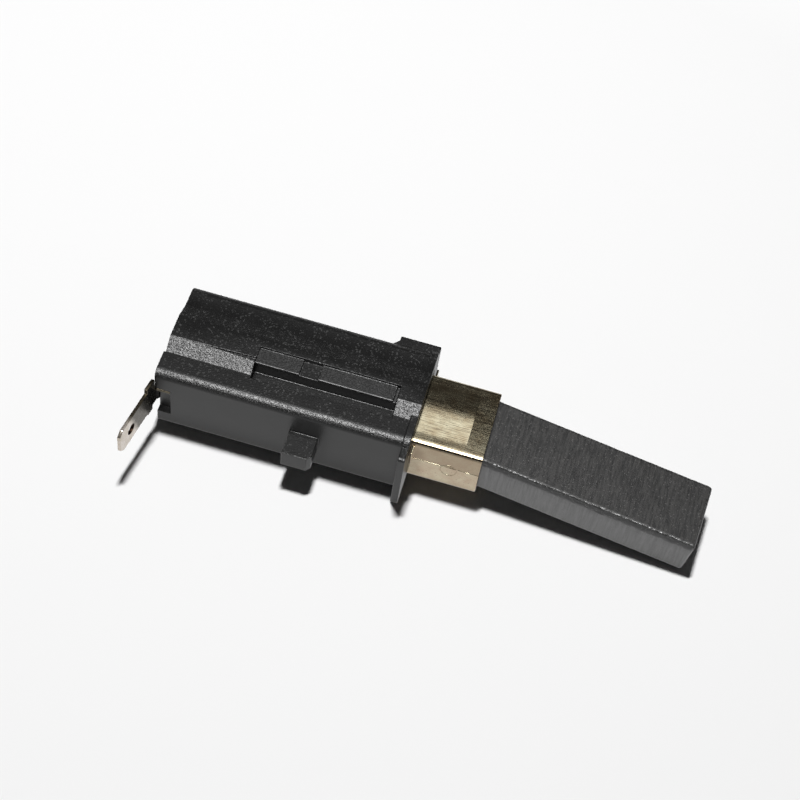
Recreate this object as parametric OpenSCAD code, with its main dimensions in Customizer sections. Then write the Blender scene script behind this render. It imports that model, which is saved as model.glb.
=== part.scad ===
// Motor carbon brush in its holder: a long carbon block slides in a folded
// brass tube, pushed out by a coil spring. The tube is held in a moulded
// housing with a mounting flange, and a blade terminal stands out at the rear.
//
// Frame: the tube's axis is X, with the carbon's tip towards +X. The origin is
// on that axis, in the plane of the flange's front face. +Y is the far side,
// -Y the near side with the catch and the terminal, and +Z is up.

/* [Carbon block] */
// Length of the carbon block
brush_l = 38.4; // [34:0.1:42]
// Width of the carbon block
brush_w = 10.9; // [10:0.1:12]
// Thickness of the carbon block
brush_h = 6.5; // [5.5:0.1:7]
// Chamfer along the edges of the carbon block
brush_chamfer = 0.25; // [0.2:0.01:0.5]
// Length of the carbon block that stays in the tube when the brush is out
brush_engaged = 6.5; // [6:0.1:10]
// Height of the carbon block's rear end above the tube's axis
brush_lift = 0.6; // [0.3:0.05:0.6]
// Travel of the carbon block, from full out to full in
stroke = 28; // [20:0.5:28]

/* [Brass tube] */
// Thickness of the brass sheet
sheet = 0.3; // [0.25:0.05:0.5]
// Sideways play of the carbon block in the tube
play_w = 0.86; // [0.5:0.02:1.1]
// Upward play of the carbon block in the tube
play_h = 1.6; // [1.2:0.05:2.2]
// Outer corner radius of the tube
tube_r = 0.9; // [0.7:0.05:0.95]
// Length of tube that stands out of the flange
nose_l = 10.15; // [9:0.1:12]
// Length of the embossed panel on top of the tube
panel_l = 7.5; // [5:0.05:8]
// Width of the embossed panel
panel_w = 8.9; // [6:0.1:9.4]
// Height of the embossed panel's crown
panel_rise = 0.28; // [0.15:0.01:0.4]
// Distance of the crown's top line from the panel's middle, to the far side
panel_shift = 1; // [0:0.05:1.5]
// Height of the folded seam above the tube's axis
seam_z = 0.45; // [0.2:0.05:1.2]
// Width of the gap at the seam
seam_gap = 0.12; // [0.08:0.01:0.2]
// Depth to which the seam shows
seam_depth = 0.12; // [0.08:0.01:0.18]
// Width of the round-ended lock tab under the seam
lock_d = 2.5; // [2:0.1:2.8]
// Length of the lock tab's straight sides
lock_side = 0.7; // [0.2:0.05:1]
// Distance of the lock tab from the flange
lock_x = 5.8; // [4:0.1:7]
// Height of each stop tang on the tube's sides
tang_h = 2.6; // [2:0.1:3.4]
// Reach of each stop tang past the tube's side
tang_out = 1.35; // [1:0.05:1.6]
// Gap between a stop tang and the flange
tang_gap = 0.25; // [0.05:0.05:0.5]

/* [Housing] */
// Length of the housing from its rear face to the flange's front face
body_l = 36.65; // [36:0.05:40]
// Distance from the tube's axis to the near face
body_near = 7.85; // [7.7:0.05:9]
// Distance from the tube's axis to the far face
body_far = 8.6; // [7.7:0.05:9.5]
// Depth of the housing's underside below the tube's axis
body_bottom = 5.65; // [5.4:0.05:6]
// Height of the near shelf above the tube's axis
shelf_near = 5.95; // [5.7:0.05:6.5]
// Height of the far shelf above the tube's axis
shelf_far = 6.3; // [5.9:0.05:6.8]
// Radius of the upper near edge
near_r = 1.35; // [0.8:0.05:1.5]
// Radius of the upper far edge
far_r = 1.6; // [0.8:0.05:2]
// Radius of the two lower edges
bottom_r = 0.5; // [0.3:0.1:1]
// Thickness of the rear wall
rear_wall = 1; // [0.8:0.1:1.6]
// Clearance between the tube and its pocket
tube_fit = 0.05; // [0.02:0.01:0.1]
// Radius of the window in the rear wall
window_r = 1.5; // [1.2:0.1:1.7]
// Height of the raised pad on the rear face
rear_pad = 0.3; // [0.1:0.05:0.4]
// Width of the raised pad on the rear face
rear_pad_w = 4; // [2:0.05:4.2]

/* [Ridge] */
// Height of the ridge above the tube's axis
ridge_z = 7.4; // [7:0.05:8.2]
// Distance of the ridge's near edge from the tube's axis
ridge_near = 1.92; // [1.6:0.02:2.2]
// Distance of the ridge's far edge from the tube's axis
ridge_far = 1.85; // [1.4:0.05:2.2]
// Width of the steep near flank
flank_near = 1.9; // [1.4:0.02:2.2]
// Width of the gentle far flank
flank_far = 2.7; // [2.4:0.1:3.6]
// Length of the tapered step above the near flank, behind the slot
step_l = 7; // [4:0.1:10]
// Width of the tapered step at the slot
step_w = 0.22; // [0.1:0.02:0.3]
// Depth of the tapered step below the ridge
step_d = 0.3; // [0.1:0.05:0.4]

/* [Slot and lands] */
// Distance from the flange's front face to the slot
slot_start = 3.55; // [3:0.05:5]
// Length of the slot
slot_l = 20.55; // [16:0.05:22]
// Distance from the tube's axis to the slot's near edge
slot_near = 4.31; // [4.2:0.01:4.8]
// Width of the deep part of the slot
slot_w = 2; // [1.6:0.05:2.2]
// Thickness of the housing between the slot and the tube
slot_floor = 0.45; // [0.3:0.05:0.8]
// Width of the lands beside the slot
land_w = 2.61; // [2:0.01:3]
// Depth of the lands below the ridge
land_drop = 0.35; // [0.2:0.05:0.5]
// Depth of the gaps between the lands below the lands
gap_drop = 0.35; // [0.2:0.05:0.6]
// Length of the rear land
land_rear_l = 6.4; // [5:0.1:8]
// Length of the gap between the lands
land_gap_l = 2.8; // [2:0.1:4]
// Length of the narrow gap in front of the front land
land_end_gap = 0.5; // [0.3:0.05:1]

/* [Flange] */
// Thickness of the flange
flange_t = 1.05; // [0.9:0.05:1.6]
// Height of the flange's rim above the shelves
flange_lip = 0.45; // [0.2:0.05:0.8]
// Reach of the near ear from the tube's axis
ear_near = 10.28; // [9.8:0.02:11]
// Reach of the far ear from the tube's axis
ear_far = 10.2; // [9.8:0.02:11]
// Height of the ears above the tube's axis
ear_top = 5.3; // [4.6:0.05:5.8]
// Depth of the flange's foot below the tube's axis
foot = 6.15; // [6.1:0.05:6.6]
// Corner radius of the ears
ear_r = 0.5; // [0.3:0.05:0.9]
// Length of the thick far ear
far_ear_l = 6.03; // [4:0.01:8]
// Chamfer behind the thick far ear
far_ear_chamfer = 0.8; // [0.3:0.1:1.2]

/* [Catch and notch] */
// Distance from the flange's front face to the catch
catch_start = 12.85; // [10:0.05:16]
// Length of the catch along the housing
catch_l = 4.25; // [3:0.05:6]
// Reach of the catch from the near face
catch_out = 3.9; // [3:0.05:4.5]
// Height of the catch's top above the tube's axis
catch_top = 1.22; // [0:0.02:2.5]
// Thickness of the catch
catch_t = 3.07; // [2:0.01:3.5]
// Chamfer on the catch's front corner
catch_chamfer = 0.6; // [0.3:0.05:1]
// Length of the notch in the rear near corner
notch_l = 2; // [1.4:0.05:3]
// Height of the notch's top above the tube's axis
notch_top = 2.2; // [1.9:0.05:2.6]
// Height of the notch
notch_h = 5.5; // [4:0.1:6]
// Depth of the notch into the near wall
notch_d = 1.15; // [0.6:0.05:1.3]

/* [Terminal] */
// Thickness of the terminal's strip
strip_t = 0.5; // [0.4:0.05:0.8]
// Width of the blade
blade_w = 4.8; // [4:0.1:6.3]
// Height of the blade's middle above the tube's axis
blade_z = 1.6; // [1.2:0.05:2]
// Reach of the blade's tip from the near face
blade_out = 10.1; // [8:0.1:12]
// Angle by which the blade leans back from the rear face
blade_lean = 9; // [0:0.5:14]
// Chamfer on the blade's tip corners
blade_chamfer = 0.8; // [0.5:0.1:1.6]
// Diameter of the hole in the blade
blade_hole_d = 1.7; // [1.3:0.1:2]
// Distance of the hole from the near face
blade_hole_out = 7.2; // [6:0.1:7.6]
// Height of the shoulder's top above the tube's axis
shoulder_top = 4.95; // [4.4:0.05:5.4]
// Depth of the shoulder's underside below the tube's axis
shoulder_low = 1.25; // [0.9:0.05:1.8]
// Reach of the shoulder from the near face
shoulder_out = 2.5; // [1.8:0.1:3.5]
// Depth of the neck's underside below the tube's axis
neck_low = 0.4; // [0.1:0.05:0.8]
// Reach of the neck from the near face
neck_out = 1.2; // [0.8:0.1:1.6]
// Distance from the near face to where the shoulder starts
shoulder_in = 0.45; // [0.3:0.05:1]
// Reach of the strap across the rear face, past the tube's axis
strap_far = 4.6; // [4:0.1:6]
// Depth of the strap's underside below the tube's axis
strap_low = 1.75; // [1.6:0.05:2.2]
// Distance of the stake from the tube's axis
stake_y = 3; // [2.7:0.1:4]
// Diameter of the stake that holds the strap
stake_d = 1.5; // [1.2:0.1:1.8]
// Clearance between the stake and the strap
stake_fit = 0.05; // [0.02:0.01:0.1]
// Diameter of the stake's flattened head
stake_head_d = 2.6; // [2.2:0.1:3]
// Height of the stake's flattened head
stake_head_t = 0.5; // [0.3:0.05:0.8]
// Width of the locating lug in the notch
lug_w = 1.1; // [0.8:0.05:1.3]

/* [Spring and lead] */
// Diameter of the spring's wire
wire_d = 0.5; // [0.4:0.05:0.6]
// Outer diameter of the spring
spring_d = 6.4; // [5.6:0.1:7]
// Number of open turns of the spring
open_turns = 12; // [8:1:14]
// Number of closed turns at each end of the spring
closed_turns = 1.5; // [1:0.5:2]
// Gap between the spring's closed turns, and to what it bears on
spring_gap = 0.05; // [0.02:0.01:0.1]
// Diameter of the flexible copper lead
lead_d = 1.6; // [1.2:0.1:2]
// Diameter of the tamped copper plug in the carbon
plug_d = 3.6; // [3:0.1:4.4]
// Depth of the tamped copper plug
plug_l = 3; // [2:0.1:4]

/* [Hidden] */
$fn = 64;
eps = 0.01;
slip = 0.04;            // least gap left between the carbon and the tube
seat = 0.02;            // gap between faces that only touch
clear = 30;             // longer than anything that is cut away

// Tube section, from the carbon block and its play
tube_in_w = brush_w + play_w;
tube_in_h = brush_h + play_h;
tube_w = tube_in_w + 2 * sheet;
tube_h = tube_in_h + 2 * sheet;
tube_rear = -body_l + rear_wall + seat;
tube_l = nose_l - tube_rear;
panel_half = panel_w / 2 + panel_shift;
panel_r = (pow(panel_half, 2) + pow(panel_rise, 2)) / (2 * panel_rise);

// Rest attitude of the carbon: its rear end lies up and against the tube's far
// side, and its tip leans to the near side and down to the level of the
// flange's foot. It straightens as it goes in.
rear_x = nose_l - brush_engaged;
rear_y = play_w / 2 - slip;
rear_z = brush_lift;
reach = pow(stroke + brush_engaged, 2) / (4 * stroke);
swing = atan((play_w - 2 * slip) / reach);
droop = asin((foot + rear_z - slip) / sqrt(pow(brush_l, 2) + pow(brush_h / 2, 2)))
        - atan(brush_h / 2 / brush_l);
lean_axis = [0, sin(droop), -sin(swing)];
lean = asin(norm(lean_axis));

// Slot and lands
slot_rear = -slot_start - slot_l;
land_front = -slot_near + slot_w;
land_z = ridge_z - land_drop;
slot_bottom = tube_h / 2 + slot_floor;
front_land_l = slot_l - land_rear_l - land_gap_l - land_end_gap;

// Terminal
strap_x = -body_l - strip_t;
blade_end = body_near + blade_out;
shoulder_end = body_near + shoulder_out;
neck_end = body_near + neck_out;

// Spring
spring_start = tube_rear - seat + spring_gap;
rear_face_dip = (spring_d / 2 + norm([rear_y, rear_z])) * tan(lean);
spring_end = rear_x - rear_face_dip - spring_gap;
spring_l = spring_end - spring_start - wire_d;
coil_r = (spring_d - wire_d) / 2;
turns = open_turns + 2 * closed_turns;
closed_pitch = wire_d + spring_gap;
closed_l = closed_turns * closed_pitch;
open_pitch = (spring_l - 2 * closed_l) / open_turns;

// Extrudes a section drawn as (Y, Z) from x0 to x1
module along_x(x0, x1) {
    translate([x0, 0, 0])
        rotate([90, 0, 90])
            linear_extrude(x1 - x0)
                children();
}

// Rectangle with round corners
module round_rect(w, h, r) {
    square([w - 2 * r, h], center = true);
    square([w, h - 2 * r], center = true);
    for (y = [-1, 1], z = [-1, 1])
        translate([y * (w / 2 - r), z * (h / 2 - r)])
            circle(r);
}

// One side of the housing's section, from the axis out to w
module half_section(w, low, high, r_low, r_high) {
    translate([0, -low])
        square([w - r_low, low + high - r_high]);
    translate([0, -low + r_low])
        square([w, low + high - r_low - r_high]);
    translate([0, -low])
        square([w - r_high, low + high]);
    translate([w - r_low, -low + r_low])
        circle(r_low);
    translate([w - r_high, high - r_high])
        circle(r_high);
}

// The ridge along the roof
module ridge_section() {
    polygon([
        [-ridge_near - flank_near, shelf_near - eps],
        [-ridge_near - flank_near, shelf_near],
        [-ridge_near, ridge_z],
        [ridge_far, ridge_z],
        [ridge_far + flank_far, shelf_far],
        [ridge_far + flank_far, shelf_near - eps]
    ]);
}

// The housing's section, with the shelves raised by rise
module body_section(rise = 0) {
    mirror([1, 0])
        half_section(body_near + rise, body_bottom, shelf_near + rise, bottom_r, near_r + rise);
    half_section(body_far + rise, body_bottom, shelf_far + rise, bottom_r, far_r + rise);
    ridge_section();
}

// Outline of the two ears and the foot of the flange
module ear_section() {
    mid = (ear_far - ear_near) / 2;
    translate([mid, (ear_top - foot) / 2])
        round_rect(ear_far + ear_near, ear_top + foot, ear_r);
}

module far_ear() {
    depth = ear_far - body_far;
    translate([0, 0, -body_bottom])
        linear_extrude(body_bottom + ear_top)
            polygon([
                [-far_ear_l, body_far - 1],
                [-far_ear_l - far_ear_chamfer, body_far],
                [-far_ear_l, body_far + min(far_ear_chamfer, depth / 2)],
                [-far_ear_l, ear_far],
                [-eps, ear_far],
                [-eps, body_far - 1]
            ]);
}

module catch() {
    translate([-catch_start - catch_l, -body_near, catch_top - catch_t])
        linear_extrude(catch_t)
            polygon([
                [0, 1],
                [0, -catch_out],
                [catch_l - catch_chamfer, -catch_out],
                [catch_l, -catch_out + catch_chamfer],
                [catch_l, 1]
            ]);
}

// Deep slot, and the lands beside it with their gaps
module slot_cuts() {
    translate([slot_rear, -slot_near, slot_bottom])
        cube([slot_l, slot_w, clear]);
    translate([slot_rear, land_front - eps, land_z])
        cube([slot_l, land_w + eps, clear]);
    translate([slot_rear + land_rear_l, land_front - eps, land_z - gap_drop])
        cube([land_gap_l, land_w + eps, clear]);
    translate([-slot_start - land_end_gap, land_front - eps, land_z - gap_drop])
        cube([land_end_gap, land_w + eps, clear]);
}

// Step that deepens towards the slot, where the near flank meets the ridge
module tapered_step() {
    translate([slot_rear, -ridge_near, ridge_z - step_d])
        linear_extrude(clear)
            polygon([
                [-step_l, -eps],
                [eps, -step_w],
                [eps, step_w]
            ]);
}

// Stake moulded on the rear face, with its flattened head
module stake() {
    translate([strap_x - stake_head_t, stake_y, 0])
        rotate([0, 90, 0]) {
            cylinder(d = stake_head_d, h = stake_head_t);
            cylinder(d = stake_d, h = stake_head_t + strip_t + eps);
        }
}

module housing() {
    color([0.10, 0.10, 0.10]) {
        difference() {
            union() {
                along_x(-body_l, -eps)
                    body_section();
                along_x(-flange_t, 0) {
                    body_section(flange_lip);
                    ear_section();
                }
                along_x(-body_l - rear_pad, -body_l + eps)
                    intersection() {
                        body_section();
                        translate([-body_near, notch_top + 2 * seat])
                            square([rear_pad_w, clear]);
                    }
                far_ear();
                catch();
            }
            along_x(-body_l + rear_wall, clear)
                round_rect(tube_w + 2 * tube_fit, tube_h + 2 * tube_fit, tube_r + tube_fit);
            translate([-body_l - eps, 0, 0])
                rotate([0, 90, 0])
                    cylinder(r = window_r, h = rear_wall + 2 * eps);
            translate([-body_l - eps, -body_near - eps, notch_top - notch_h])
                cube([notch_l + eps, notch_d + eps, notch_h]);
            slot_cuts();
            tapered_step();
        }
        stake();
    }
}

// Round-ended tab that hangs from the seam, d wide
module lock_tab(d) {
    translate([0, -lock_side])
        circle(d = d);
    translate([-d / 2, -lock_side])
        square([d, lock_side]);
}

module seam() {
    face = -tube_w / 2;
    translate([tube_rear - eps, face - 1, seam_z - seam_gap / 2])
        cube([tube_l + 2 * eps, seam_depth + 1, seam_gap]);
    translate([lock_x, face + seam_depth, seam_z])
        rotate([90, 0, 0])
            linear_extrude(1)
                difference() {
                    lock_tab(lock_d);
                    lock_tab(lock_d - 2 * seam_gap);
                }
}

// Panel pressed up out of the tube's top. It rises gently from the near side
// to its crown, and ends in a low step at the far side.
module panel() {
    intersection() {
        translate([seat, -panel_w / 2, tube_h / 2 - sheet / 2])
            cube([panel_l - seat, panel_w, panel_rise + sheet]);
        translate([-eps, panel_shift, tube_h / 2 + panel_rise - panel_r])
            rotate([0, 90, 0])
                cylinder(r = panel_r, h = panel_l + 2 * eps, $fn = 180);
    }
}

// The two tangs that stop the tube from sliding back into the housing
module tangs() {
    for (side = [-1, 1])
        translate([tang_gap, side * (tube_w / 2 + tang_out / 2 - eps), 0])
            translate([0, -tang_out / 2, tube_h / 2 - tube_r - tang_h])
                cube([sheet, tang_out, tang_h]);
}

module brush_tube() {
    color([0.75, 0.60, 0.32])
        union() {
            difference() {
                along_x(tube_rear, nose_l)
                    round_rect(tube_w, tube_h, tube_r);
                along_x(tube_rear - 1, nose_l + 1)
                    round_rect(tube_in_w, tube_in_h, tube_r - sheet);
                seam();
            }
            panel();
            tangs();
        }
}

// The terminal seen from above: a strap that leans back past the near face
module strip_plan() {
    run = blade_out;
    back = run * tan(blade_lean);
    polygon([
        [-body_l, strap_far],
        [-body_l, -body_near],
        [-body_l - back, -blade_end],
        [strap_x - back, -blade_end],
        [strap_x, -body_near],
        [strap_x, strap_far]
    ]);
}

// The terminal seen from behind, drawn as (Y, Z)
module strip_outline() {
    half = blade_w / 2;
    polygon([
        [strap_far, -strap_low],
        [strap_far, notch_top],
        [-body_near - shoulder_in, notch_top],
        [-body_near - shoulder_in, shoulder_top],
        [-shoulder_end, shoulder_top],
        [-shoulder_end, blade_z + half],
        [-blade_end + blade_chamfer, blade_z + half],
        [-blade_end, blade_z + half - blade_chamfer],
        [-blade_end, blade_z - half + blade_chamfer],
        [-blade_end + blade_chamfer, blade_z - half],
        [-shoulder_end, blade_z - half],
        [-shoulder_end, -shoulder_low],
        [-neck_end, -shoulder_low],
        [-neck_end, -neck_low],
        [-body_near, -neck_low],
        [-body_near + notch_d, -strap_low]
    ]);
}

module terminal() {
    color([0.72, 0.66, 0.55])
        difference() {
            union() {
                intersection() {
                    translate([0, 0, -clear / 2])
                        linear_extrude(clear)
                            strip_plan();
                    along_x(-body_l - clear / 2, -body_l + eps)
                        strip_outline();
                }
                translate([-body_l - eps, -body_near - seat, notch_top - seat - strip_t])
                    cube([notch_l - 2 * seat, lug_w, strip_t]);
            }
            translate([-body_l, stake_y, 0])
                rotate([0, 90, 0])
                    cylinder(d = stake_d + 2 * stake_fit, h = 4 * strip_t, center = true);
            translate([-body_l - blade_hole_out * tan(blade_lean), -body_near - blade_hole_out, blade_z])
                rotate([0, 90, -blade_lean])
                    cylinder(d = blade_hole_d, h = 6 * strip_t, center = true);
        }
}

// Puts what is drawn from the carbon's rear end into its rest attitude
module leaning() {
    translate([rear_x, rear_y, rear_z])
        rotate(a = lean, v = lean_axis)
            children();
}

// Rectangle with its corners cut off
module cut_rect(w, h, c) {
    polygon([
        [c, 0], [w - c, 0], [w, c], [w, h - c],
        [w - c, h], [c, h], [0, h - c], [0, c]
    ]);
}

module carbon_block() {
    c = brush_chamfer;
    color([0.20, 0.20, 0.21])
        leaning()
            difference() {
                intersection() {
                    translate([0, -brush_w / 2, -brush_h])
                        linear_extrude(2 * brush_h)
                            cut_rect(brush_l, brush_w, c);
                    translate([0, brush_w, -brush_h / 2])
                        rotate([90, 0, 0])
                            linear_extrude(2 * brush_w)
                                cut_rect(brush_l, brush_h, c);
                    along_x(-1, brush_l + 1)
                        translate([-brush_w / 2, -brush_h / 2])
                            cut_rect(brush_w, brush_h, c);
                }
                translate([-eps, 0, 0])
                    rotate([0, 90, 0])
                        cylinder(d = plug_d, h = plug_l + eps);
            }
}

module copper_plug() {
    color([0.60, 0.34, 0.22])
        leaning()
            translate([seat, 0, 0])
                rotate([0, 90, 0])
                    cylinder(d = plug_d - 2 * seat, h = plug_l - 2 * seat);
}

// Distance along the spring at turn t: slow over the closed ends
function spring_x(t) =
    t < closed_turns ? t * closed_pitch :
    t < closed_turns + open_turns ? closed_l + (t - closed_turns) * open_pitch :
    spring_l - (turns - t) * closed_pitch;

function coil_point(t) =
    [spring_start + wire_d / 2 + spring_x(t), coil_r * cos(360 * t), coil_r * sin(360 * t)];

// One ring of the wire at turn t, with its sides in the plane of the axis
function wire_ring(t, sides) =
    let (c = coil_point(t), out = [0, cos(360 * t), sin(360 * t)])
    [for (i = [0:sides - 1])
        c + wire_d / 2 * (cos(360 * i / sides) * out + [sin(360 * i / sides), 0, 0])];

module spring() {
    sides = 8;
    per_turn = 18;
    steps = ceil(turns * per_turn);
    rings = [for (k = [0:steps]) each wire_ring(turns * k / steps, sides)];
    walls = [for (k = [0:steps - 1], i = [0:sides - 1])
        let (a = k * sides + i, b = k * sides + (i + 1) % sides)
        [a, b, b + sides, a + sides]];
    first = [for (i = [sides - 1:-1:0]) i];
    last = [for (i = [0:sides - 1]) steps * sides + i];
    color([0.62, 0.62, 0.60])
        polyhedron(points = rings, faces = concat(walls, [first, last]), convexity = 10);
}

// Straight lead between two points, taut when the brush is full out
module copper_lead() {
    from = [-body_l + seat, 0, 0];
    to = [rear_x - (lead_d / 2) * sin(lean) - seat, rear_y, rear_z];
    run = to - from;
    color([0.68, 0.38, 0.24])
        translate(from)
            rotate([0, acos(run.z / norm(run)), atan2(run.y, run.x)])
                cylinder(d = lead_d, h = norm(run), $fn = 32);
}

housing();
brush_tube();
terminal();
carbon_block();
copper_plug();
spring();
copper_lead();
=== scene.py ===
# Motor carbon brush in its holder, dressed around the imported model.
# Lengths in the settings are in millimetres, angles in degrees.
import math

import bpy
from mathutils import Matrix, Vector, noise
from mathutils.bvhtree import BVHTree


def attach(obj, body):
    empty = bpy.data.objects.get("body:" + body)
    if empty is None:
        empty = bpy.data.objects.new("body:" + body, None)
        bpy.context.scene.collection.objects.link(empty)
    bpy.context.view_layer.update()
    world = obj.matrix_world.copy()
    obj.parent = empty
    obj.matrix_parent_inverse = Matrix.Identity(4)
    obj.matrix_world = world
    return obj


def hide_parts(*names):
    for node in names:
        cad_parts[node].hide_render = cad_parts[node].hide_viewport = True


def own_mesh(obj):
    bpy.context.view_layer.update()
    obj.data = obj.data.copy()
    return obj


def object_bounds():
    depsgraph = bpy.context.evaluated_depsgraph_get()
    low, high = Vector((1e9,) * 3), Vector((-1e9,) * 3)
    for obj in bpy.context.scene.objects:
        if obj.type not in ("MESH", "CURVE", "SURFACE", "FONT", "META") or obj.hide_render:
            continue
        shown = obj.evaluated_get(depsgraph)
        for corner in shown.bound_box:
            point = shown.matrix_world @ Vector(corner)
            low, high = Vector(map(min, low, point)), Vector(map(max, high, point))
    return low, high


mm = 0.001

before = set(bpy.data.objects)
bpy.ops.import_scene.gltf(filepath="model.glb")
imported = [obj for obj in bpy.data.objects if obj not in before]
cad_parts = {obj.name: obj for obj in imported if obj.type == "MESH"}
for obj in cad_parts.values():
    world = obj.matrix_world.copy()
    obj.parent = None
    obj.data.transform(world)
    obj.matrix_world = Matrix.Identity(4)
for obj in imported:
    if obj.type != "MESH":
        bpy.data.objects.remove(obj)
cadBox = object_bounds()
print("frame loaded:", ", ".join(sorted(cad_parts)))


def deselectAll():
    if bpy.context.mode != "OBJECT":
        bpy.ops.object.mode_set(mode="OBJECT")
    bpy.ops.object.select_all(action="DESELECT")


def makeActive(piece):
    deselectAll()
    piece.select_set(True)
    bpy.context.view_layer.objects.active = piece


def applyModifiers(piece):
    makeActive(piece)
    for modifier in list(piece.modifiers):
        bpy.ops.object.modifier_apply(modifier=modifier.name)


def mergedCopy(nodeName, pieceName, flatAngle=0.5, joinWithin=0.001):
    # the CAD mesh is loose triangles: merges them, then joins what is flat
    piece = bpy.data.objects.new(pieceName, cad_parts[nodeName].data.copy())
    bpy.context.scene.collection.objects.link(piece)
    piece.data.materials.clear()
    makeActive(piece)
    bpy.ops.object.mode_set(mode="EDIT")
    bpy.ops.mesh.select_all(action="SELECT")
    bpy.ops.mesh.remove_doubles(threshold=joinWithin * mm)
    bpy.ops.mesh.dissolve_limited(angle_limit=math.radians(flatAngle))
    bpy.ops.object.mode_set(mode="OBJECT")
    return piece


def breakEdges(piece, width, leastTurn):
    # takes the sharpness off every edge that turns by more than leastTurn
    strayed = 1.3 * width * mm   # a corner between nearly parallel edges shoots out by more
    bevel = piece.modifiers.new("brokenEdges", "BEVEL")
    bevel.width = width * mm
    bevel.segments = 2
    bevel.limit_method = "ANGLE"
    bevel.angle_limit = math.radians(leastTurn)
    bevel.use_clamp_overlap = False
    solid = BVHTree.FromPolygons([v.co for v in piece.data.vertices],
                                 [list(f.vertices) for f in piece.data.polygons])
    applyModifiers(piece)
    for vertex in piece.data.vertices:
        nearest, _, _, distance = solid.find_nearest(vertex.co)
        if distance > strayed:
            vertex.co = nearest
    makeActive(piece)
    bpy.ops.object.shade_smooth_by_angle(angle=math.radians(leastTurn))
    flatten = piece.modifiers.new("flatFaces", "WEIGHTED_NORMAL")
    flatten.mode = "FACE_AREA"
    flatten.weight = 100
    flatten.keep_sharp = True
    applyModifiers(piece)


def dress(piece, material):
    piece.data.materials.clear()
    piece.data.materials.append(material)


def newMaterial(name, roughness, metallic=0.0, specular=0.5):
    material = bpy.data.materials.new(name)
    material.use_nodes = True
    shader = material.node_tree.nodes["Principled BSDF"]
    shader.inputs["Roughness"].default_value = roughness
    shader.inputs["Metallic"].default_value = metallic
    shader.inputs["Specular IOR Level"].default_value = specular
    return material, material.node_tree, shader


def addNode(tree, kind, settings=None, links=None):
    # links: input name or number to a value, a colour or another node's socket
    node = tree.nodes.new(kind)
    for key, value in (settings or {}).items():
        setattr(node, key, value)
    for key, value in (links or {}).items():
        if isinstance(value, bpy.types.NodeSocket):
            tree.links.new(value, node.inputs[key])
        else:
            node.inputs[key].default_value = value
    return node


def placeCoords(tree, scale=(1, 1, 1), turn=(0, 0, 0)):
    # Object coordinates in millimetres, turned and stretched
    coords = addNode(tree, "ShaderNodeTexCoord")
    mapping = addNode(tree, "ShaderNodeMapping", None, {"Vector": coords.outputs["Object"]})
    mapping.inputs["Scale"].default_value = [s / mm for s in scale]
    mapping.inputs["Rotation"].default_value = [math.radians(t) for t in turn]
    return mapping.outputs["Vector"]


def noiseAt(tree, vector, scale, detail=2.0, roughness=0.5):
    node = addNode(tree, "ShaderNodeTexNoise", None, {
        "Vector": vector, "Scale": scale, "Detail": detail, "Roughness": roughness})
    return node.outputs["Fac"]


def calc(tree, operation, a, b=0.0, clamp=False):
    settings = {"operation": operation, "use_clamp": clamp}
    return addNode(tree, "ShaderNodeMath", settings, {0: a, 1: b}).outputs[0]


def spread(tree, value, low, high, toLow=0.0, toHigh=1.0):
    node = addNode(tree, "ShaderNodeMapRange", {"clamp": True}, {
        "Value": value, "From Min": low, "From Max": high, "To Min": toLow, "To Max": toHigh})
    return node.outputs["Result"]


def mixColours(tree, factor, a, b):
    # 0, 6 and 7 are the node's sockets for the factor and two colours
    node = addNode(tree, "ShaderNodeMix", {"data_type": "RGBA"}, {0: factor, 6: a, 7: b})
    return node.outputs[2]


def grey(level, warmth=0.0):
    return (level * (1 + warmth), level, level * (1 - warmth), 1.0)


def groupSockets(group, inputs, outputs):
    for name, kind, value in inputs:
        socket = group.interface.new_socket(name=name, in_out="INPUT", socket_type=kind)
        if value is not None:
            socket.default_value = value
    for name, kind in outputs:
        group.interface.new_socket(name=name, in_out="OUTPUT", socket_type=kind)


def makeGrainGroup():
    # fine grain: a height for the bump and a mask of scattered bright grains
    group = bpy.data.node_groups.new("surfaceGrain", "ShaderNodeTree")
    groupSockets(group,
                 [("Vector", "NodeSocketVector", None),
                  ("Grain Size", "NodeSocketFloat", 0.15),
                  ("Speckle Share", "NodeSocketFloat", 0.3)],
                 [("Height", "NodeSocketFloat"), ("Speckle", "NodeSocketFloat")])
    source = group.nodes.new("NodeGroupInput")
    sink = group.nodes.new("NodeGroupOutput")
    rate = calc(group, "DIVIDE", 1.0, source.outputs["Grain Size"])
    cells = addNode(group, "ShaderNodeTexVoronoi", {"feature": "F1"}, {
        "Vector": source.outputs["Vector"], "Scale": rate})
    soft = addNode(group, "ShaderNodeTexNoise", None, {
        "Vector": source.outputs["Vector"], "Scale": rate, "Detail": 2.0})
    height = calc(group, "ADD", cells.outputs["Distance"], soft.outputs["Fac"])
    group.links.new(height, sink.inputs["Height"])
    tint = addNode(group, "ShaderNodeSeparateColor", None, {"Color": cells.outputs["Color"]})
    edge = calc(group, "SUBTRACT", 1.0, source.outputs["Speckle Share"])
    speckle = calc(group, "GREATER_THAN", tint.outputs["Red"], edge)
    group.links.new(speckle, sink.inputs["Speckle"])
    return group


grainGroup = makeGrainGroup()


def useGrain(tree, vector, size, share):
    node = tree.nodes.new("ShaderNodeGroup")
    node.node_tree = grainGroup
    tree.links.new(vector, node.inputs["Vector"])
    node.inputs["Grain Size"].default_value = size
    node.inputs["Speckle Share"].default_value = share
    return node.outputs["Height"], node.outputs["Speckle"]


def facingPart(tree, axis, low, high, toLow=0.0):
    # how far the surface faces along an axis, spread up to 1
    surface = addNode(tree, "ShaderNodeNewGeometry")
    normal = addNode(tree, "ShaderNodeSeparateXYZ", None, {
        "Vector": surface.outputs["True Normal"]})
    return spread(tree, normal.outputs[axis], low, high, toLow)


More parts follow.
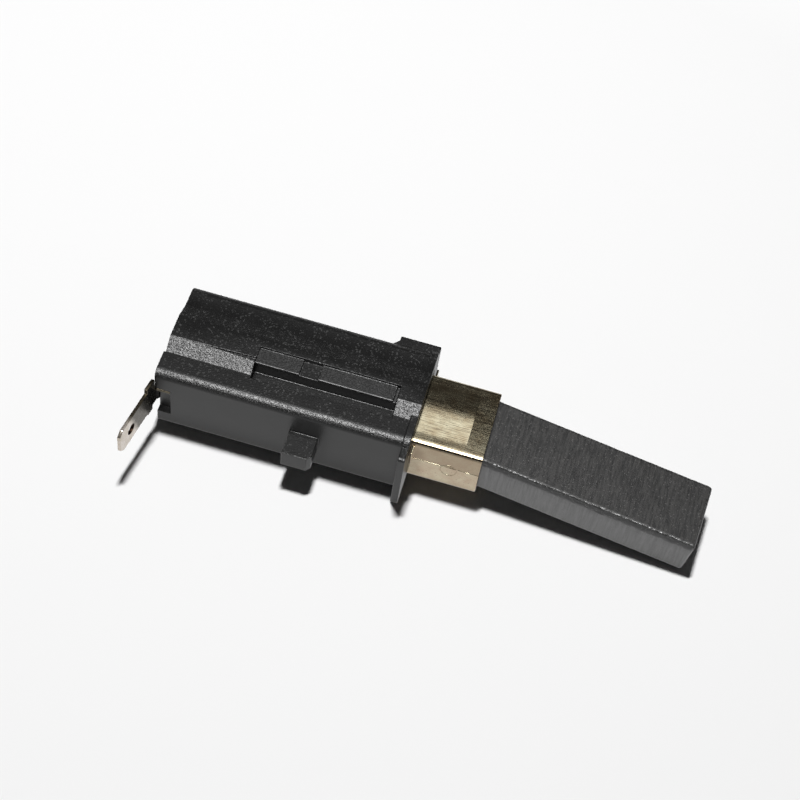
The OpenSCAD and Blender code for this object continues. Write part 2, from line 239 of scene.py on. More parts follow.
def within(tree, value, low, high, soft=0.04):
    # 1 between low and high, 0 outside
    return calc(tree, "MULTIPLY", spread(tree, value, low - soft, low),
                spread(tree, value, high, high + soft, 1.0, 0.0))


def bumpFrom(tree, shader, height, distance):
    node = addNode(tree, "ShaderNodeBump", None, {
        "Height": height, "Distance": distance * mm, "Strength": 1.0})
    tree.links.new(node.outputs["Normal"], shader.inputs["Normal"])


housingSet = {
    "joinWithin": 0.02,          # closes hairline steps of the mesh
    "edge": 0.12,                # width taken off the sharp edges
    "edgeTurn": 24,              # least turn of an edge that is broken
    "black": 0.007,              # base colour of the moulding
    "cloudy": 0.0105,            # and of its cloudy parts
    "pale": 0.060,               # and of the painted glints on its grains
    "edgeHighlight": 0.30,              # and of the highlight painted along the lands' near edges
    "speckleShare": 0.10,        # of the grains, the share painted as glints
    "speckleShine": 0.12,        # taken off their roughness
    "cloudFineness": 0.35,
    "grainSize": 0.19,
    "grainHeight": 0.050,
    "levelGrain": 0.35,          # share of that height on level faces
    "upper": (0.25, 0.60),       # upward slope from which a face is grained
    "tilted": (0.97, 0.90),      # and at which it counts as leaning
    "towardsNear": (-0.10, -0.30),
    "lands": ((-24.1, -17.7), (-14.9, -4.05)),   # rear and front one, along the slot
    "landNear": -2.31, "landFar": 0.30, "landZ": 7.05,
    "landHighlightStrip": (-0.05, 0.10),   # the strip of painted highlight, from the near edge
    "landLevel": (-0.15, 0.05),
    "refraction": 1.6,
    "sheen": 0.36,               # specular level
    "glintRefraction": 1.6,      # of the shiny skin on the grains of leaning faces
    "roughness": 0.31,
}


def landMasks(tree, coords):
    # the lands beside the slot, and the strips along their near edges where a highlight is painted
    look = housingSet
    split = addNode(tree, "ShaderNodeSeparateXYZ", None, {"Vector": coords}).outputs
    rear, front = [within(tree, split["X"], *span) for span in look["lands"]]
    level = within(tree, split["Z"], *[look["landZ"] + d for d in look["landLevel"]])
    along = calc(tree, "MULTIPLY", calc(tree, "ADD", rear, front), level)
    across = within(tree, split["Y"], look["landNear"], look["landFar"])
    strip = within(tree, split["Y"], *[look["landNear"] + d for d in look["landHighlightStrip"]])
    return calc(tree, "MULTIPLY", along, across), calc(tree, "MULTIPLY", along, strip)


def makePlastic():
    look = housingSet
    material, tree, shader = newMaterial("blackMoulding", look["roughness"])
    shader.inputs["IOR"].default_value = look["refraction"]
    shader.inputs["Specular IOR Level"].default_value = look["sheen"]
    shader.inputs["Coat IOR"].default_value = look["glintRefraction"]
    shader.inputs["Coat Roughness"].default_value = look["roughness"]
    coords = placeCoords(tree)
    height, speckle = useGrain(tree, coords, look["grainSize"], look["speckleShare"])
    grains = noiseAt(tree, coords, 1.0 / look["grainSize"], 2.0, 0.6)
    cloud = noiseAt(tree, coords, look["cloudFineness"], 4.0)
    upward = facingPart(tree, "Z", *look["upper"])
    tilted = calc(tree, "MULTIPLY", upward, facingPart(tree, "Z", *look["tilted"]))

    # black with clouds, and painted glints: scattered pale grains on the upward faces, fewer
    # between the clouds
    tone = mixColours(tree, spread(tree, cloud, 0.3, 0.7),
                      grey(look["black"]), grey(look["cloudy"]))
    speckle = calc(tree, "MULTIPLY", speckle, upward)
    speckle = calc(tree, "MULTIPLY", speckle, spread(tree, cloud, 0.35, 0.6, 0.3, 1.0))
    tone = mixColours(tree, speckle, tone, grey(look["pale"]))

    # painted glints and highlight: the lands' grains are painted paler, and a highlight is painted
    # along their near edges
    landGlints, landHighlightStrip = landMasks(tree, coords)
    landGlints = calc(tree, "MULTIPLY", landGlints, upward)
    landGlints = calc(tree, "MULTIPLY", landGlints, spread(tree, grains, 0.45, 0.62, 0.1, 0.75))
    tone = mixColours(tree, landGlints, tone, grey(look["pale"]))
    landHighlightStrip = calc(tree, "MULTIPLY", landHighlightStrip, spread(tree, cloud, 0.3, 0.55, 0.35, 1.0))
    tone = mixColours(tree, landHighlightStrip, tone, grey(look["edgeHighlight"]))
    tree.links.new(tone, shader.inputs["Base Color"])

    shine = calc(tree, "MULTIPLY", speckle, look["speckleShine"])
    rough = calc(tree, "SUBTRACT", look["roughness"] + 0.04, shine)
    tree.links.new(rough, shader.inputs["Roughness"])

    # grains glint where a face leans to the near side
    leaning = calc(tree, "MULTIPLY", tilted, facingPart(tree, "Y", *look["towardsNear"]))
    glint = calc(tree, "MULTIPLY", leaning, spread(tree, grains, 0.44, 0.62))
    tree.links.new(glint, shader.inputs["Coat Weight"])

    depth = calc(tree, "ADD", calc(tree, "MULTIPLY", upward, look["levelGrain"]),
                 calc(tree, "MULTIPLY", tilted, 1 - look["levelGrain"]))
    bumpFrom(tree, shader, calc(tree, "MULTIPLY", height, depth), look["grainHeight"])
    return material


tubeSet = {
    "edge": 0.07,
    "edgeTurn": 30,
    "litTopGold": (0.80, 0.735, 0.53, 1.0),        # on top, painted lighter as a highlight
    "litTopAmber": (0.60, 0.50, 0.33, 1.0),        # and its blotches, painted lighter too
    "pale": (0.50, 0.44, 0.32, 1.0),         # down the sides, painted darker as shade
    "tan": (0.43, 0.34, 0.245, 1.0),         # and their blotches, painted darker too
    "tarnish": (0.14, 0.10, 0.065, 1.0),     # specks and streaks
    "dull": (0.20, 0.14, 0.09, 1.0),         # the sides above the seam
    "dullShare": 0.5,
    "seam": 0.45,                # height of the seam along the near side
    "rolled": (0.12, 3.0, 3.0),  # drawn out along the tube, and a little askew
    "rolledTurn": 4,
    "scratchFineness": 2.4,
    "stainFineness": 0.55,
    "speckFineness": 4.5,
    "roughness": (0.05, 0.11),   # least and most, over the scratches
    "speckRoughness": 0.14,      # added by the specks
    "scratchHeight": 0.003,
}


def makeBrass():
    look = tubeSet
    material, tree, shader = newMaterial("rolledBrass", 0.2, metallic=1.0)
    coords = placeCoords(tree)
    rolled = placeCoords(tree, scale=look["rolled"], turn=(0, 0, look["rolledTurn"]))
    scratches = noiseAt(tree, rolled, look["scratchFineness"], 5.0, 0.75)
    stains = noiseAt(tree, coords, look["stainFineness"], 5.0, 0.6)
    specks = noiseAt(tree, coords, look["speckFineness"], 3.0, 0.6)

    # painted light and shade: the top is painted brighter than the sides, with blotches, specks and
    # streaks
    onTop = facingPart(tree, "Z", 0.75, 0.9)
    blotches = spread(tree, stains, 0.35, 0.65)
    tone = mixColours(tree, onTop, mixColours(tree, blotches, look["pale"], look["tan"]),
                      mixColours(tree, blotches, look["litTopGold"], look["litTopAmber"]))
    tone = mixColours(tree, spread(tree, specks, 0.60, 0.72, 0.0, 0.45), tone, look["tarnish"])
    worn = calc(tree, "MULTIPLY", spread(tree, scratches, 0.40, 0.52, 0.7, 0.0), onTop)
    tone = mixColours(tree, worn, tone, look["tarnish"])

    # the sides are duller above the seam
    height = addNode(tree, "ShaderNodeSeparateXYZ", None, {"Vector": coords}).outputs["Z"]
    above = spread(tree, height, look["seam"] - 0.1, look["seam"] + 0.1)
    sideways = calc(tree, "ABSOLUTE", facingPart(tree, "Y", -1.0, 1.0, -1.0))
    dull = calc(tree, "MULTIPLY", above, spread(tree, sideways, 0.8, 0.95))
    dull = calc(tree, "MULTIPLY", dull, look["dullShare"])
    tone = mixColours(tree, dull, tone, look["dull"])
    tree.links.new(tone, shader.inputs["Base Color"])

    rough = calc(tree, "ADD", spread(tree, scratches, 0.3, 0.7, *look["roughness"]),
                 spread(tree, specks, 0.55, 0.75, 0.0, look["speckRoughness"]))
    tree.links.new(rough, shader.inputs["Roughness"])
    height = calc(tree, "ADD", scratches, calc(tree, "MULTIPLY", specks, 0.3))
    bumpFrom(tree, shader, height, look["scratchHeight"])
    return material


terminalSet = {
    "edge": 0.05,
    "edgeTurn": 30,
    "pale": (0.62, 0.56, 0.51, 1.0),
    "warm": (0.50, 0.44, 0.35, 1.0),         # its stains
    "pitAndShadowTone": (0.064, 0.054, 0.036, 1.0),      # its pits, and the painted shadow on its root
    # the painted shade in the hole
    "holeShadeTone": (0.035, 0.022, 0.015, 1.0),
    "rootShadowSpan": (-13.6, -12.4),  # the painted shadow on the root fades in from here to here
    "rootSlant": 0.35,           # rise of that edge, up the blade
    "rootWander": 1.2,
    "rootShare": 0.97,
    "holeAt": (0, -15.01, 1.6),  # the hole, looked at along the tube
    "holeRadius": 0.87,
    "holeFade": 0.06,
    "stainFineness": 0.8,
    "pitFineness": 6.0,
    "pitHeight": 0.010,
    "roughness": (0.18, 0.34),
}


def makeStripMetal():
    look = terminalSet
    material, tree, shader = newMaterial("paleStrip", 0.3, metallic=1.0)
    coords = placeCoords(tree)
    stains = noiseAt(tree, coords, look["stainFineness"], 5.0, 0.6)
    pits = noiseAt(tree, coords, look["pitFineness"], 3.0, 0.6)
    tone = mixColours(tree, spread(tree, stains, 0.4, 0.65), look["pale"], look["warm"])
    tone = mixColours(tree, spread(tree, pits, 0.62, 0.75, 0.0, 0.8), tone, look["pitAndShadowTone"])

    # painted shadow: the root is painted dark, up to an edge that slants and wanders
    split = addNode(tree, "ShaderNodeSeparateXYZ", None, {"Vector": coords}).outputs
    reach = calc(tree, "ADD", split["Y"], calc(tree, "MULTIPLY", split["Z"], look["rootSlant"]))
    reach = calc(tree, "ADD", reach, calc(tree, "MULTIPLY", stains, look["rootWander"]))
    rootShadow = spread(tree, reach, *look["rootShadowSpan"], 0.0, look["rootShare"])
    tone = mixColours(tree, rootShadow, tone, look["pitAndShadowTone"])

    # painted shade: the hole's wall is painted darker still
    fromHole = addNode(tree, "ShaderNodeVectorMath", {"operation": "SUBTRACT"}, {
        0: coords, 1: look["holeAt"]})
    sideOn = addNode(tree, "ShaderNodeVectorMath", {"operation": "MULTIPLY"}, {
        0: fromHole.outputs[0], 1: (0, 1, 1)})
    away = addNode(tree, "ShaderNodeVectorMath", {"operation": "LENGTH"}, {0: sideOn.outputs[0]})
    holeShade = spread(tree, away.outputs["Value"], look["holeRadius"],
                    look["holeRadius"] + look["holeFade"], 1.0, 0.0)
    tone = mixColours(tree, holeShade, tone, look["holeShadeTone"])
    tree.links.new(tone, shader.inputs["Base Color"])

    rough = spread(tree, stains, 0.3, 0.7, *look["roughness"])
    tree.links.new(rough, shader.inputs["Roughness"])
    bumpFrom(tree, shader, pits, look["pitHeight"])
    return material


carbonSet = {
    "length": 38.4, "width": 10.9, "height": 6.5,
    "rear": (3.65, 0.39, 0.60),                  # centre of its rear end
    "leanAxis": (0.0, 0.77734098, -0.62907949),
    "lean": 6.682051,
    "plugHole": (3.6, 3.0),      # diameter and depth, at the rear end
    "steps": (0.20, 1.1, 1.0),   # of the mesh along, across and up the block
    "edgeSteps": (0.1, 0.2, 0.3, 0.42, 0.56, 0.75, 1.0),   # beside its long edges
    "tipSteps": (0.42, 0.3, 0.2, 0.1),           # before its tip
    "smoothTurn": 22,
    "worn": 0.44,                # least radius of the worn edges
    "flake": 0.22,               # the most that a flake adds to it
    # two faces, the axis along their edge, what is added to the least
    # radius there, and the share of the flakes
    "wornEdges": (("far", "top", 0, 0.0, 0.4), ("near", "under", 0, 0.0, 0.5),
                  ("far", "under", 0, 0.0, 0.5), ("tip", "top", 1, 0.0, 0.5),
                  ("tip", "near", 2, 0.0, 0.4), ("tip", "far", 2, 0.15, 0.3),
                  ("tip", "under", 1, 0.0, 0.4)),
    "seedStep": 3.1,             # keeps the edges' flakes apart
    # chips, long and short: length, level they start at, strength, drift
    "chips": ((2.1, 0.12, 1.3, 0.3), (0.55, 0.10, 0.8, 7.7)),
    # the upper near edge is worn to a steep bevel: share of the way over it,
    # with how far in from the near face and how far down from the top it lies
    "nearBevel": ((0.0, 0.50, 0.0), (0.24, 0.38, 0.05), (0.36, 0.31, 0.12), (1.0, 0.0, 0.86)),
    "bevelDrift": (0.9, 0.12),   # length and size of its slow changes
    "bevelFlake": 1.1,
    "ragged": 0.045,             # roughness of the worn surface
    "raggedSize": 0.2,
    "top": 0.030,                # base colours
    # the ground lines' dark, also painted on the bevels as shade
    "grooveAndBevelShade": 0.006,
    "dust": 0.085,
    "side": (0.0225, 0.105),     # least and most, over the streaks, painted lighter than the top as a sheen
    "lines": (3.2, 0.35),        # fineness of the lines, across and along them
    "lineTurn": -14,             # their slant from straight across
    "lineDepth": 0.018,
    "streaks": (2.6, 1.0, 0.25), # fineness of the streaks down the sides
    "mottleFineness": 2.6,
    "mottleShare": 0.3,
    "dustSize": 0.12,
    "dustShare": 0.03,
    "refraction": 1.9,
    "roughness": 0.34,
    "brokenFineness": 3.2,       # of the grains that sparkle along the bevel
    "brokenRoughness": (0.9, 0.2),
}


def makeCarbon():
    look = carbonSet
    material, tree, shader = newMaterial("bakedCarbon", look["roughness"])
    shader.inputs["IOR"].default_value = look["refraction"]
    coords = placeCoords(tree)
    surface = addNode(tree, "ShaderNodeNewGeometry")
    normal = addNode(tree, "ShaderNodeSeparateXYZ", None, {
        "Vector": surface.outputs["True Normal"]})
    upright = calc(tree, "ABSOLUTE", normal.outputs["Z"])
    broad = spread(tree, upright, 0.80, 0.95)
    sides = spread(tree, upright, 0.10, 0.22, 1.0, 0.0)
    across, along = look["lines"]
    slanted = placeCoords(tree, scale=(across, along, 1), turn=(0, 0, look["lineTurn"]))
    lines = noiseAt(tree, slanted, 1.0, 3.0, 0.6)
    streaks = noiseAt(tree, placeCoords(tree, scale=look["streaks"]), 1.0, 4.0, 0.65)
    mottle = noiseAt(tree, coords, look["mottleFineness"], 4.0, 0.75)
    grit, dust = useGrain(tree, coords, look["dustSize"], look["dustShare"])

    # ground lines on the broad faces, streaks down the sides painted lighter than the top as a
    # sheen, painted shade on the bevels between, dust on all
    leastSide, mostSide = look["side"]
    sideStreaksAndSheen = mixColours(tree, spread(tree, streaks, 0.35, 0.65),
                          grey(leastSide), grey(mostSide))
    worked = calc(tree, "ADD", calc(tree, "MULTIPLY", lines, 1 - look["mottleShare"]),
                  calc(tree, "MULTIPLY", mottle, look["mottleShare"]))
    topTone = mixColours(tree, spread(tree, worked, 0.43, 0.57),
                         grey(look["grooveAndBevelShade"]), grey(look["top"], 0.03))
    # painted shade: the bevels between the broad faces and the sides take the near black
    tone = mixColours(tree, broad, grey(look["grooveAndBevelShade"]), topTone)
    tone = mixColours(tree, sides, tone, sideStreaksAndSheen)
    tone = mixColours(tree, dust, tone, grey(look["dust"], 0.03))
    tree.links.new(tone, shader.inputs["Base Color"])

    # broken grains sparkle along the worn bevel
    nearTop = calc(tree, "MULTIPLY", spread(tree, upright, 0.55, 0.75),
                   spread(tree, upright, 0.965, 0.985, 1.0, 0.0))
    grains = noiseAt(tree, coords, look["brokenFineness"], 3.0, 0.7)
    rough = addNode(tree, "ShaderNodeMix", {"data_type": "FLOAT"}, {
        "Factor": nearTop,
        "A": spread(tree, streaks, 0.3, 0.7, look["roughness"] - 0.06, look["roughness"] + 0.08),
        "B": spread(tree, grains, 0.44, 0.60, *look["brokenRoughness"])})
    tree.links.new(rough.outputs[0], shader.inputs["Roughness"])

    height = calc(tree, "MULTIPLY", lines, broad)
    height = calc(tree, "ADD", height, calc(tree, "MULTIPLY", grit, 0.5))
    bumpFrom(tree, shader, height, look["lineDepth"])
    return material


copperSet = {
    "clean": (0.60, 0.30, 0.18, 1),
    "stained": (0.38, 0.17, 0.10, 1),
    "roughness": 0.4,
    "twist": 35,                 # slant of the lead's wires
    "wireDepth": 0.05,
}


def makeCopper():
    look = copperSet
    material, tree, shader = newMaterial("dullCopper", look["roughness"], metallic=1.0)
    stains = noiseAt(tree, placeCoords(tree), 1.5, 4.0)
    tone = mixColours(tree, spread(tree, stains, 0.35, 0.65), look["clean"], look["stained"])
    tree.links.new(tone, shader.inputs["Base Color"])
    wires = addNode(tree, "ShaderNodeTexWave", None, {
        "Vector": placeCoords(tree, turn=(0, 0, look["twist"])), "Scale": 1.2, "Distortion": 0.4})
    bumpFrom(tree, shader, wires.outputs["Fac"], look["wireDepth"])
    return material


springSet = {
    "grey": (0.50, 0.50, 0.49, 1),
    "bright": (0.62, 0.61, 0.59, 1),
    "roughness": (0.22, 0.4),
}


def makeSpringSteel():
    look = springSet
    material, tree, shader = newMaterial("springWire", 0.3, metallic=1.0)
    drawn = noiseAt(tree, placeCoords(tree, scale=(1.0, 4.0, 4.0)), 2.0, 3.0)
    tone = mixColours(tree, spread(tree, drawn, 0.3, 0.7), look["grey"], look["bright"])
    tree.links.new(tone, shader.inputs["Base Color"])
    rough = spread(tree, drawn, 0.3, 0.7, *look["roughness"])
    tree.links.new(rough, shader.inputs["Roughness"])
    return material


plastic = makePlastic()
brass = makeBrass()
stripMetal = makeStripMetal()
carbon = makeCarbon()
copper = makeCopper()
springSteel = makeSpringSteel()
print("materials ready")


def standIn(piece, nodeName, bodyName, material):
    # the piece is shown for a CAD node, and moves with a body
    dress(piece, material)
    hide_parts(nodeName)
    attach(piece, bodyName)


def makeHousing():
    shell = mergedCopy("housing", "housing_moulding", joinWithin=housingSet["joinWithin"])
    breakEdges(shell, housingSet["edge"], housingSet["edgeTurn"])
    standIn(shell, "housing", "holder", plastic)


def makeTube():
    tube = mergedCopy("brush_tube", "folded_tube")
    breakEdges(tube, tubeSet["edge"], tubeSet["edgeTurn"])
    standIn(tube, "brush_tube", "holder", brass)


def makeTerminal():
    strip = mergedCopy("terminal", "terminal_strip")
    breakEdges(strip, terminalSet["edge"], terminalSet["edgeTurn"])
    standIn(strip, "terminal", "holder", stripMetal)


def cutAcross(axis, positions):
    # cuts the whole mesh by planes square to an axis
    normal = [0, 0, 0]
    normal[axis] = 1
    for position in positions:
        point = [0, 0, 0]
        point[axis] = position * mm
        bpy.ops.mesh.select_all(action="SELECT")
        bpy.ops.mesh.bisect(plane_co=point, plane_no=normal)


def edgeSteps(half, spacing):
    # close together beside both faces, then evenly spaced
    near = list(carbonSet["edgeSteps"])
    start, end = -half + near[-1], half - near[-1]
    count = max(2, round((end - start) / spacing))
    middle = [start + (end - start) * i / count for i in range(1, count)]
    return [-half + d for d in near] + middle + [half - d for d in near]


def wornRadius(along, least, flake, seed):
    # radius of the worn corner at a place along an edge
    chipped = 0.0
    for length, start, strength, drift in carbonSet["chips"]:
        level = noise.noise(Vector((along / length, seed, drift)))
        chipped += max(0.0, level - start) * strength
    return least + flake * min(1.0, chipped)


def raggedness(point, share):
    bumps = noise.noise(Vector(point) / carbonSet["raggedSize"])
    return max(0.0, bumps) * carbonSet["ragged"] * share


onFace = 0.001   # a point this close to a face lies on it
inwards = {"tip": (-1, 0, 0), "near": (0, 1, 0), "far": (0, -1, 0),
           "top": (0, 0, -1), "under": (0, 0, 1)}


def bevelNearEdge(point, inward):
    # lays the upper near edge onto its worn bevel, a little ragged
    bevel = carbonSet["nearBevel"]
    length, change = carbonSet["bevelDrift"]
    size = 1 + change * noise.noise(Vector((point[0] / length, 2.0, 5.0))) \
        + carbonSet["bevelFlake"] * wornRadius(point[0], 0.0, carbonSet["flake"], 0.0)
    inSpan, downSpan = bevel[0][1] * size, bevel[-1][2] * size
    isIn, isDown = inward["near"], inward["top"]
    if min(isIn, isDown) > onFace or isIn >= inSpan or isDown >= downSpan:
        return
    share = 0.5 * (1 - isIn / inSpan) if isIn > isDown else 0.5 + 0.5 * isDown / downSpan
    for (low, inLow, downLow), (high, inHigh, downHigh) in zip(bevel, bevel[1:]):
        if low <= share <= high:
            part = (share - low) / (high - low)
            rough = raggedness(point, min(1.0, 6 * share))
            point[1] += (inLow + (inHigh - inLow) * part) * size + rough - isIn
            point[2] -= (downLow + (downHigh - downLow) * part) * size + rough - isDown
            return


def wearEdges(point):
    # point is in the block's own frame, in millimetres
    block = carbonSet
    start = list(point)
    x, y, z = start
    halfWidth, halfHeight = block["width"] / 2, block["height"] / 2
    inward = {"tip": block["length"] - x, "near": y + halfWidth, "far": halfWidth - y,
              "top": halfHeight - z, "under": z + halfHeight}
    bevelNearEdge(point, inward)
    for order, (first, second, axis, extra, share) in enumerate(block["wornEdges"]):
        radius = wornRadius(start[axis], block["worn"] + extra, block["flake"] * share,
                            block["seedStep"] * order)
        a, b = inward[first], inward[second]
        if min(a, b) > onFace or max(a, b) >= radius:
            continue
        # a point on one of the two faces goes onto an arc between them
        turn = (1 - max(a, b) / radius) * math.pi / 4
        low, high = radius * (1 - math.cos(turn)), radius * (1 - math.sin(turn))
        toA, toB = (low, high) if a < b else (high, low)
        rough = raggedness(point, math.sin(2 * turn))
        for side, shift in ((first, toA - a + rough), (second, toB - b + rough)):
            for i in range(3):
                point[i] += inwards[side][i] * shift
    return point


def boreRearEnd(piece):
    # the hole that holds the copper plug
    diameter, depth = carbonSet["plugHole"]
    bpy.ops.mesh.primitive_cylinder_add(vertices=48, radius=diameter / 2 * mm, depth=2 * depth * mm,
                                        rotation=(0, math.pi / 2, 0))
    drill = bpy.context.object
    cut = piece.modifiers.new("plugHole", "BOOLEAN")
    cut.object = drill
    cut.operation = "DIFFERENCE"
    applyModifiers(piece)
    bpy.data.objects.remove(drill)


def makeCarbonBlock():
    block = carbonSet
    length, width, height = block["length"], block["width"], block["height"]
    alongStep, acrossStep, upStep = block["steps"]
    deselectAll()
    bpy.ops.mesh.primitive_cube_add(size=1, location=(length / 2 * mm, 0, 0))
    piece = bpy.context.object
    piece.name = piece.data.name = "carbon_brush"
    piece.scale = (length * mm, width * mm, height * mm)
    bpy.ops.object.transform_apply(location=True, rotation=True, scale=True)
    bpy.ops.object.mode_set(mode="EDIT")
    lastStep = int(length / alongStep) - 2   # the tip has its own steps
    cutAcross(0, [alongStep * i for i in range(1, lastStep)])
    cutAcross(0, [length - d for d in block["tipSteps"]])
    cutAcross(1, edgeSteps(width / 2, acrossStep))
    cutAcross(2, edgeSteps(height / 2, upStep))
    bpy.ops.object.mode_set(mode="OBJECT")
    for vertex in piece.data.vertices:
        vertex.co = Vector(wearEdges([c / mm for c in vertex.co])) * mm
    boreRearEnd(piece)
    lean = Matrix.Rotation(math.radians(block["lean"]), 4, Vector(block["leanAxis"]))
    piece.data.transform(Matrix.Translation(Vector(block["rear"]) * mm) @ lean)
    makeActive(piece)
    bpy.ops.object.shade_smooth_by_angle(angle=math.radians(block["smoothTurn"]))
    standIn(piece, "carbon_block", "carbon", carbon)


hiddenSet = {
    "flatTurn": 0.05,            # largest turn between triangles that are joined
    "smoothTurn": 50,
}


def makeHidden():
    # the plug, the spring and the lead, out of sight behind the carbon
    dress(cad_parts["copper_plug"], copper)
    for nodeName, material, slotName in (("spring", springSteel, "spring_steel"),
                                         ("copper_lead", copper, "copper")):
        piece = mergedCopy(nodeName, nodeName + "_soft", hiddenSet["flatTurn"])
        makeActive(piece)
        bpy.ops.object.shade_smooth_by_angle(angle=math.radians(hiddenSet["smoothTurn"]))
        standIn(piece, nodeName, "holder", material)
        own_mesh(piece)


makeHousing()
print("housing done")
makeTube()
makeTerminal()
print("brass done")
makeCarbonBlock()
print("carbon done")
makeHidden()
print("inner pieces done")


cameraSet = {
    "aim": (-3.62, 1.91, 1.61),     # point that the lens looks at
    "azimuth": -6.93,               # turned from +Y towards -X
    "elevation": 55.27,
    "roll": 10.0,
    "distance": 252.26,
    "focal": 79.6,
    "sensor": 36,                   # its width
    "clipStart": 10,
}


def makeCamera():
    turn = math.radians(cameraSet["azimuth"])
    rise = math.radians(cameraSet["elevation"])
    roll = math.radians(cameraSet["roll"])
    ahead = Vector((math.sin(turn) * math.cos(rise), math.cos(turn) * math.cos(rise),
                    -math.sin(rise)))
    right = Vector((math.cos(turn), -math.sin(turn), 0))
    down = ahead.cross(right)
    across = right * math.cos(roll) - down * math.sin(roll)
    upright = -(right * math.sin(roll) + down * math.cos(roll))
    matrix = Matrix((across, upright, -ahead)).transposed().to_4x4()
    matrix.translation = Vector(cameraSet["aim"]) * mm - ahead * cameraSet["distance"] * mm
    lens = bpy.data.cameras.new("productCamera")
    lens.lens = cameraSet["focal"]
    lens.sensor_width = cameraSet["sensor"]
    lens.clip_start = cameraSet["clipStart"] * mm
    lens.dof.use_dof = False
    camera = bpy.data.objects.new("productCamera", lens)
    bpy.context.scene.collection.objects.link(camera)
    camera.matrix_world = matrix
    bpy.context.scene.camera = camera


studioSet = {
    "floorSize": 4000,
    "floorColour": 0.86,
    "floorGlow": 0.75,              # added far from the part, where the lamp fades
    "glowFrom": 110, "glowTo": 500,
    "keyFrom": (-78, 112, 690),     # place of the overhead lamp
    "keySize": (85, 30),
    "keyPower": 5.45,
    "glossFrom": (-30, -255, 545),  # place of the panel that shows in gloss only
    "glossSize": (380, 380),
    "glossPower": 5.2,
    "stripFade": (26, 48),          # the floor's white fades here, as gloss sees it
    "stripTones": (0.97, 0.2),
    "stripSquash": 0.35,            # along the part
    "stripShare": 0.75,             # the rest is the floor as it is
    "fill": 0.03,                   # of the surroundings on matt surfaces
    "cardRadius": 900,
    "cardSpan": (3, 57.6),          # elevations between which the walls are dark
    "cardTint": (1, 0.97, 0.94, 1),
    "cardTone": 0.052,
}


def reflectedRays(tree):
    # 1 for what the camera, gloss and glass see, 0 for light on matt surfaces
    rays = addNode(tree, "ShaderNodeLightPath")
    seen = calc(tree, "ADD", rays.outputs["Is Camera Ray"], rays.outputs["Is Glossy Ray"])
    seen = calc(tree, "ADD", seen, rays.outputs["Is Transmission Ray"], clamp=True)
    return calc(tree, "MULTIPLY", seen, beforeMatt(tree))


def beforeMatt(tree):
    # 0 once the light has been scattered by a matt surface
    rays = addNode(tree, "ShaderNodeLightPath")
    return calc(tree, "LESS_THAN", rays.outputs["Diffuse Depth"], 0.5)


def makeFloor():
    studio = studioSet
    deselectAll()
    under = cadBox[0][2] - 0.01 * mm
    bpy.ops.mesh.primitive_plane_add(size=studio["floorSize"] * mm, location=(0, 0, under))
    floor = bpy.context.object
    floor.name = "studio_floor"
    bpy.ops.object.transform_apply(location=True, rotation=True, scale=True)
    material, tree, shader = newMaterial("studioFloor", 0.9, specular=0.0)
    shader.inputs["Base Color"].default_value = grey(studio["floorColour"])
    away = addNode(tree, "ShaderNodeVectorMath", {"operation": "LENGTH"}, {0: placeCoords(tree)})
    glowing = spread(tree, away.outputs["Value"], studio["glowFrom"], studio["glowTo"],
                     0.0, studio["floorGlow"])
    glow = addNode(tree, "ShaderNodeEmission", None, {"Color": (1, 1, 1, 1)})
    tree.links.new(calc(tree, "MULTIPLY", reflectedRays(tree), glowing), glow.inputs["Strength"])
    both = tree.nodes.new("ShaderNodeAddShader")
    tree.links.new(shader.outputs[0], both.inputs[0])
    tree.links.new(glow.outputs[0], both.inputs[1])
    # in gloss the floor is evenly white beside the part and darker further off
    strip = addNode(tree, "ShaderNodeVectorMath", {"operation": "LENGTH"}, {
        0: placeCoords(tree, scale=(studio["stripSquash"], 1, 1))})
    fading = spread(tree, strip.outputs["Value"], *studio["stripFade"], *studio["stripTones"])
    white = addNode(tree, "ShaderNodeEmission", None, {"Color": (1, 1, 1, 1), "Strength": fading})
    isGloss = addNode(tree, "ShaderNodeLightPath").outputs["Is Glossy Ray"]
    inGloss = calc(tree, "MULTIPLY", isGloss, beforeMatt(tree))
    inGloss = calc(tree, "MULTIPLY", inGloss, studio["stripShare"])
    chosen = addNode(tree, "ShaderNodeMixShader", None, {
        0: inGloss, 1: both.outputs[0], 2: white.outputs[0]})
    tree.links.new(chosen.outputs[0], tree.nodes["Material Output"].inputs["Surface"])
    dress(floor, material)


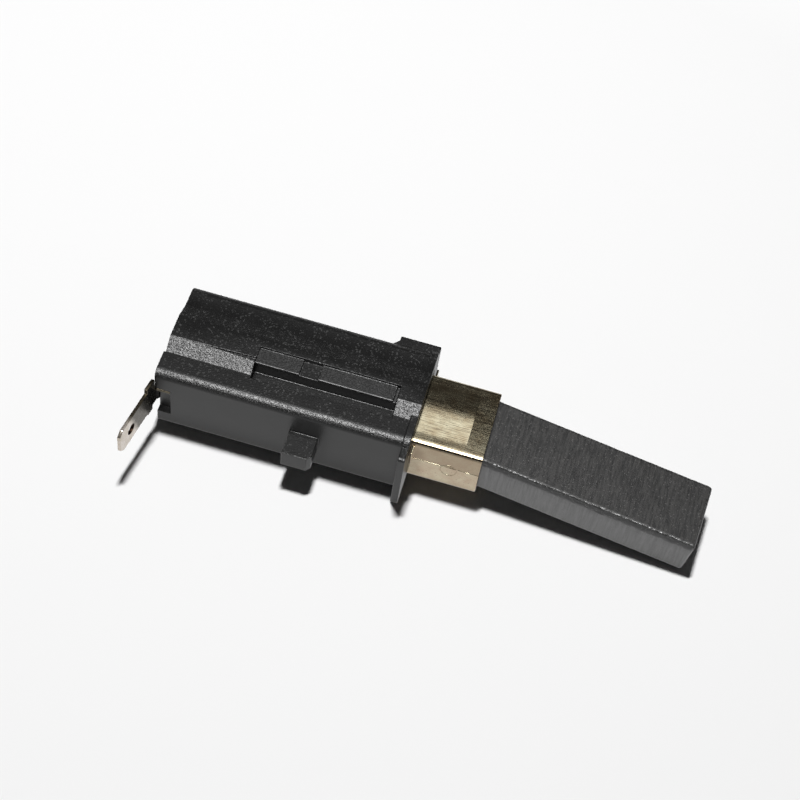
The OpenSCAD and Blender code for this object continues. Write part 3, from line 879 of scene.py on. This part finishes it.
def makeDarkWalls():
    # a ring of dark card all round, that shows in gloss only
    studio = studioSet
    deselectAll()
    radius = studio["cardRadius"] * mm
    bpy.ops.mesh.primitive_uv_sphere_add(segments=48, ring_count=60, radius=radius)
    walls = bpy.context.object
    walls.name = "dark_walls"
    bpy.ops.object.mode_set(mode="EDIT")
    for rise, upper in zip(studio["cardSpan"], (False, True)):
        bpy.ops.mesh.select_all(action="SELECT")
        level = (0, 0, radius * math.sin(math.radians(rise)))
        bpy.ops.mesh.bisect(plane_co=level, plane_no=(0, 0, 1),
                            clear_outer=upper, clear_inner=not upper)
    bpy.ops.object.mode_set(mode="OBJECT")
    material, tree, shader = newMaterial("darkCard", 1.0, specular=0.0)
    shader.inputs["Base Color"].default_value = (0, 0, 0, 1)
    shader.inputs["Emission Color"].default_value = studio["cardTint"]
    shader.inputs["Emission Strength"].default_value = studio["cardTone"]
    dress(walls, material)
    walls.visible_camera = False
    walls.visible_diffuse = False
    walls.visible_shadow = False


def areaLamp(name, spot, size, power):
    lamp = bpy.data.lights.new(name, "AREA")
    lamp.shape = "RECTANGLE"
    lamp.size, lamp.size_y = size[0] * mm, size[1] * mm
    lamp.energy = power
    holder = bpy.data.objects.new(name, lamp)
    bpy.context.scene.collection.objects.link(holder)
    holder.location = Vector(spot) * mm
    holder.rotation_euler = (-Vector(spot)).to_track_quat("-Z", "Y").to_euler()
    return holder


def makeLights():
    studio = studioSet
    key = areaLamp("overheadLamp", studio["keyFrom"], studio["keySize"], studio["keyPower"])
    key.visible_glossy = False
    gloss = areaLamp("glossPanel", studio["glossFrom"], studio["glossSize"], studio["glossPower"])
    gloss.visible_diffuse = False
    gloss.data.use_nodes = True
    tree = gloss.data.node_tree
    tree.links.new(beforeMatt(tree), tree.nodes["Emission"].inputs["Strength"])
    world = bpy.data.worlds.new("studioWorld")
    bpy.context.scene.world = world
    world.use_nodes = True
    tree = world.node_tree
    background = tree.nodes["Background"]
    background.inputs["Color"].default_value = (1, 1, 1, 1)
    tree.links.new(spread(tree, reflectedRays(tree), 0.0, 1.0, studio["fill"], 1.0),
                   background.inputs["Strength"])


makeCamera()
makeFloor()
makeDarkWalls()
makeLights()
bpy.context.scene.view_settings.view_transform = "Standard"
print("studio ready")
